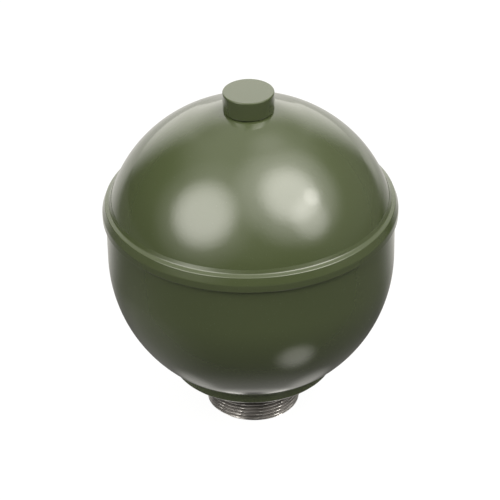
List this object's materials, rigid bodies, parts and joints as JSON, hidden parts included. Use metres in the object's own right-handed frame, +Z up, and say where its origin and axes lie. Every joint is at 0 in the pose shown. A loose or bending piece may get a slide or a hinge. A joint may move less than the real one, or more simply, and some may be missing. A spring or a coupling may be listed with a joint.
{
  "type": "spherical diaphragm pressure accumulator",
  "caption": "Olive green pressure accumulator sphere with a rolled band, a round charging plug on top and a threaded port neck.",
  "frame": {"origin": "centre of the neck's end face, at the lowest point", "axes": "+Z up the axis from the port neck through the diaphragm to the charging plug"},
  "size_m": [0.1078, 0.1078, 0.1326],
  "materials": {
    "paint": "gloss olive green paint on drawn steel",
    "plug_paint": "gloss olive green paint on turned steel",
    "turned_steel": "bare turned steel, painted from the collar's cone up",
    "plated_steel": "plated, satin",
    "spring_steel": "blued and ground, faint grey green",
    "sintered_steel": "matt sintered steel",
    "rivet_alloy": "pale satin",
    "button_plastic": "black moulded",
    "rubber": "matt black"
  },
  "bodies": {
    "vessel": {"upper_shell": "paint", "lower_shell": "paint", "port_fitting": "turned_steel", "charging_plug": "plug_paint", "plug_seal": "rubber", "rim_seal": "rubber", "diaphragm": "rubber", "clamp_ring": "plated_steel", "damper_body": "sintered_steel", "damper_rivet": "rivet_alloy", "rivet_washer": "plated_steel", "outer_leaf_1": "spring_steel", "inner_leaf_1": "spring_steel", "outer_leaf_2": "spring_steel", "inner_leaf_2": "spring_steel", "outer_leaf_3": "spring_steel", "inner_leaf_3": "spring_steel", "outer_leaf_4": "spring_steel", "inner_leaf_4": "spring_steel"},
    "button": {"diaphragm_button": "button_plastic"}
  },
  "joints": [
    {"name": "diaphragm_stroke", "type": "slide", "parent": "vessel", "child": "button", "axis": [0, 0, 1], "range_m": [0, 0.045], "deforming": ["diaphragm"]}
  ]
}
